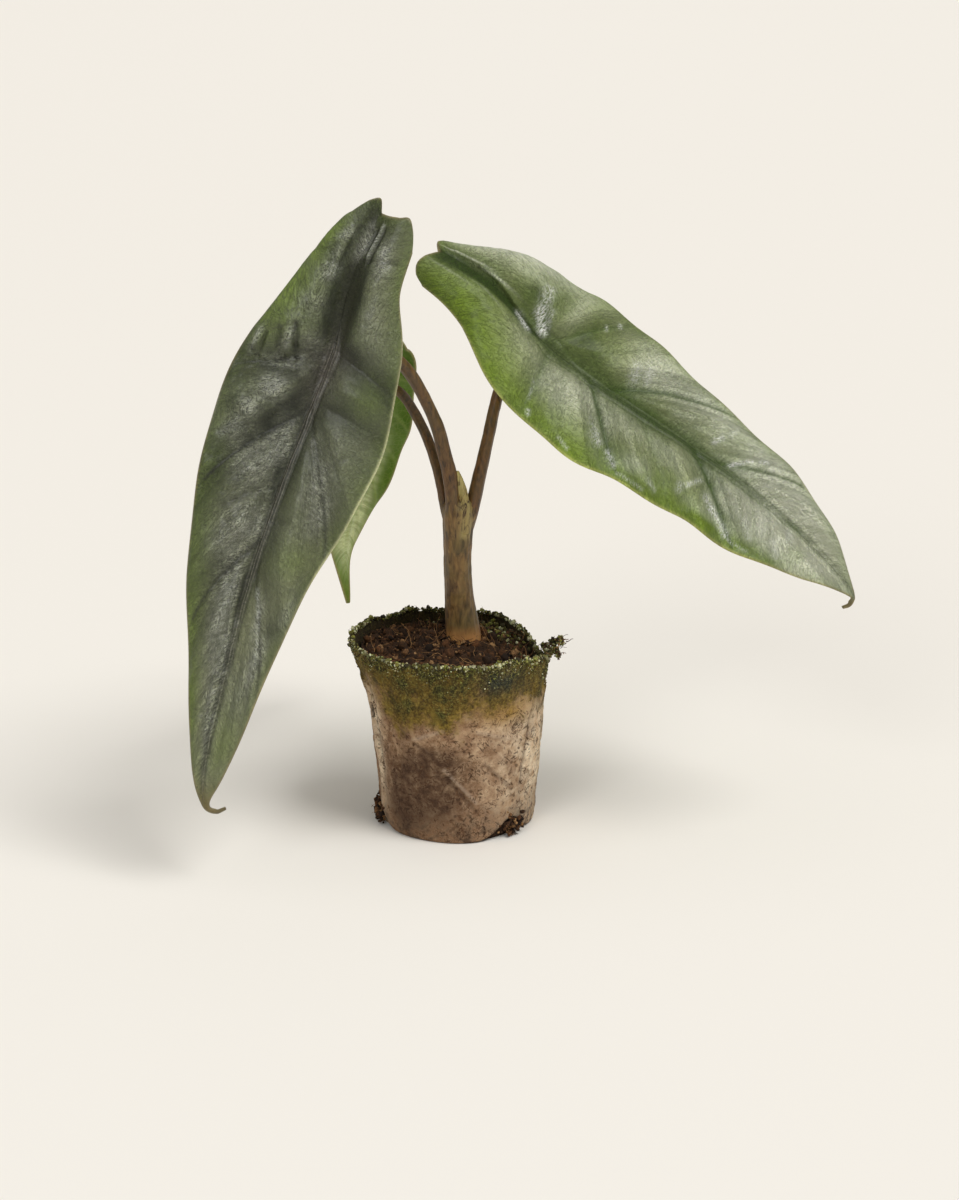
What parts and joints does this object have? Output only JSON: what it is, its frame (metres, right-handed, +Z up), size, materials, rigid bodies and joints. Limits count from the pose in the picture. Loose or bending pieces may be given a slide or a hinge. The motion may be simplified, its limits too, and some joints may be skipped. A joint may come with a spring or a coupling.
{
  "type": "potted alocasia heterophylla",
  "caption": "Young potted aroid with long hanging arrow-shaped leaves on arching stalks, rooted in a soft paper-wrapped plug of soil with a mossy rim.",
  "frame": {"origin": "middle of the flat underside of the soil plug, on the surface that the pot stands on", "axes": "+Z up along the pot; -Y towards the side from which the dark leaf's upper face is seen; +X towards the bright leaf's tip"},
  "size_m": [0.1636, 0.1282, 0.1634],
  "materials": {
    "paper": "matt damp non-woven plant paper, stained green near the rim",
    "soil": "matt fibrous coir and peat",
    "moss": "crumbly moss and algae",
    "stem_skin": "satin mottled skin, pinkish at the foot",
    "stalk_skin": "satin mottled brown skin",
    "dark_leaf": "satin dark green with a silvery sheen and sunken veins",
    "bright_leaf": "glossy green with a silvery sheen and sunken veins"
  },
  "bodies": {
    "root": {"paper_sleeve": "paper", "growing_medium": "soil", "rim_moss": "moss", "stem": "stem_skin", "petiole_left": "stalk_skin", "petiole_right": "stalk_skin", "petiole_rear": "stalk_skin", "leaf_left": "dark_leaf", "leaf_right": "bright_leaf", "leaf_rear": "bright_leaf"}
  },
  "joints": []
}
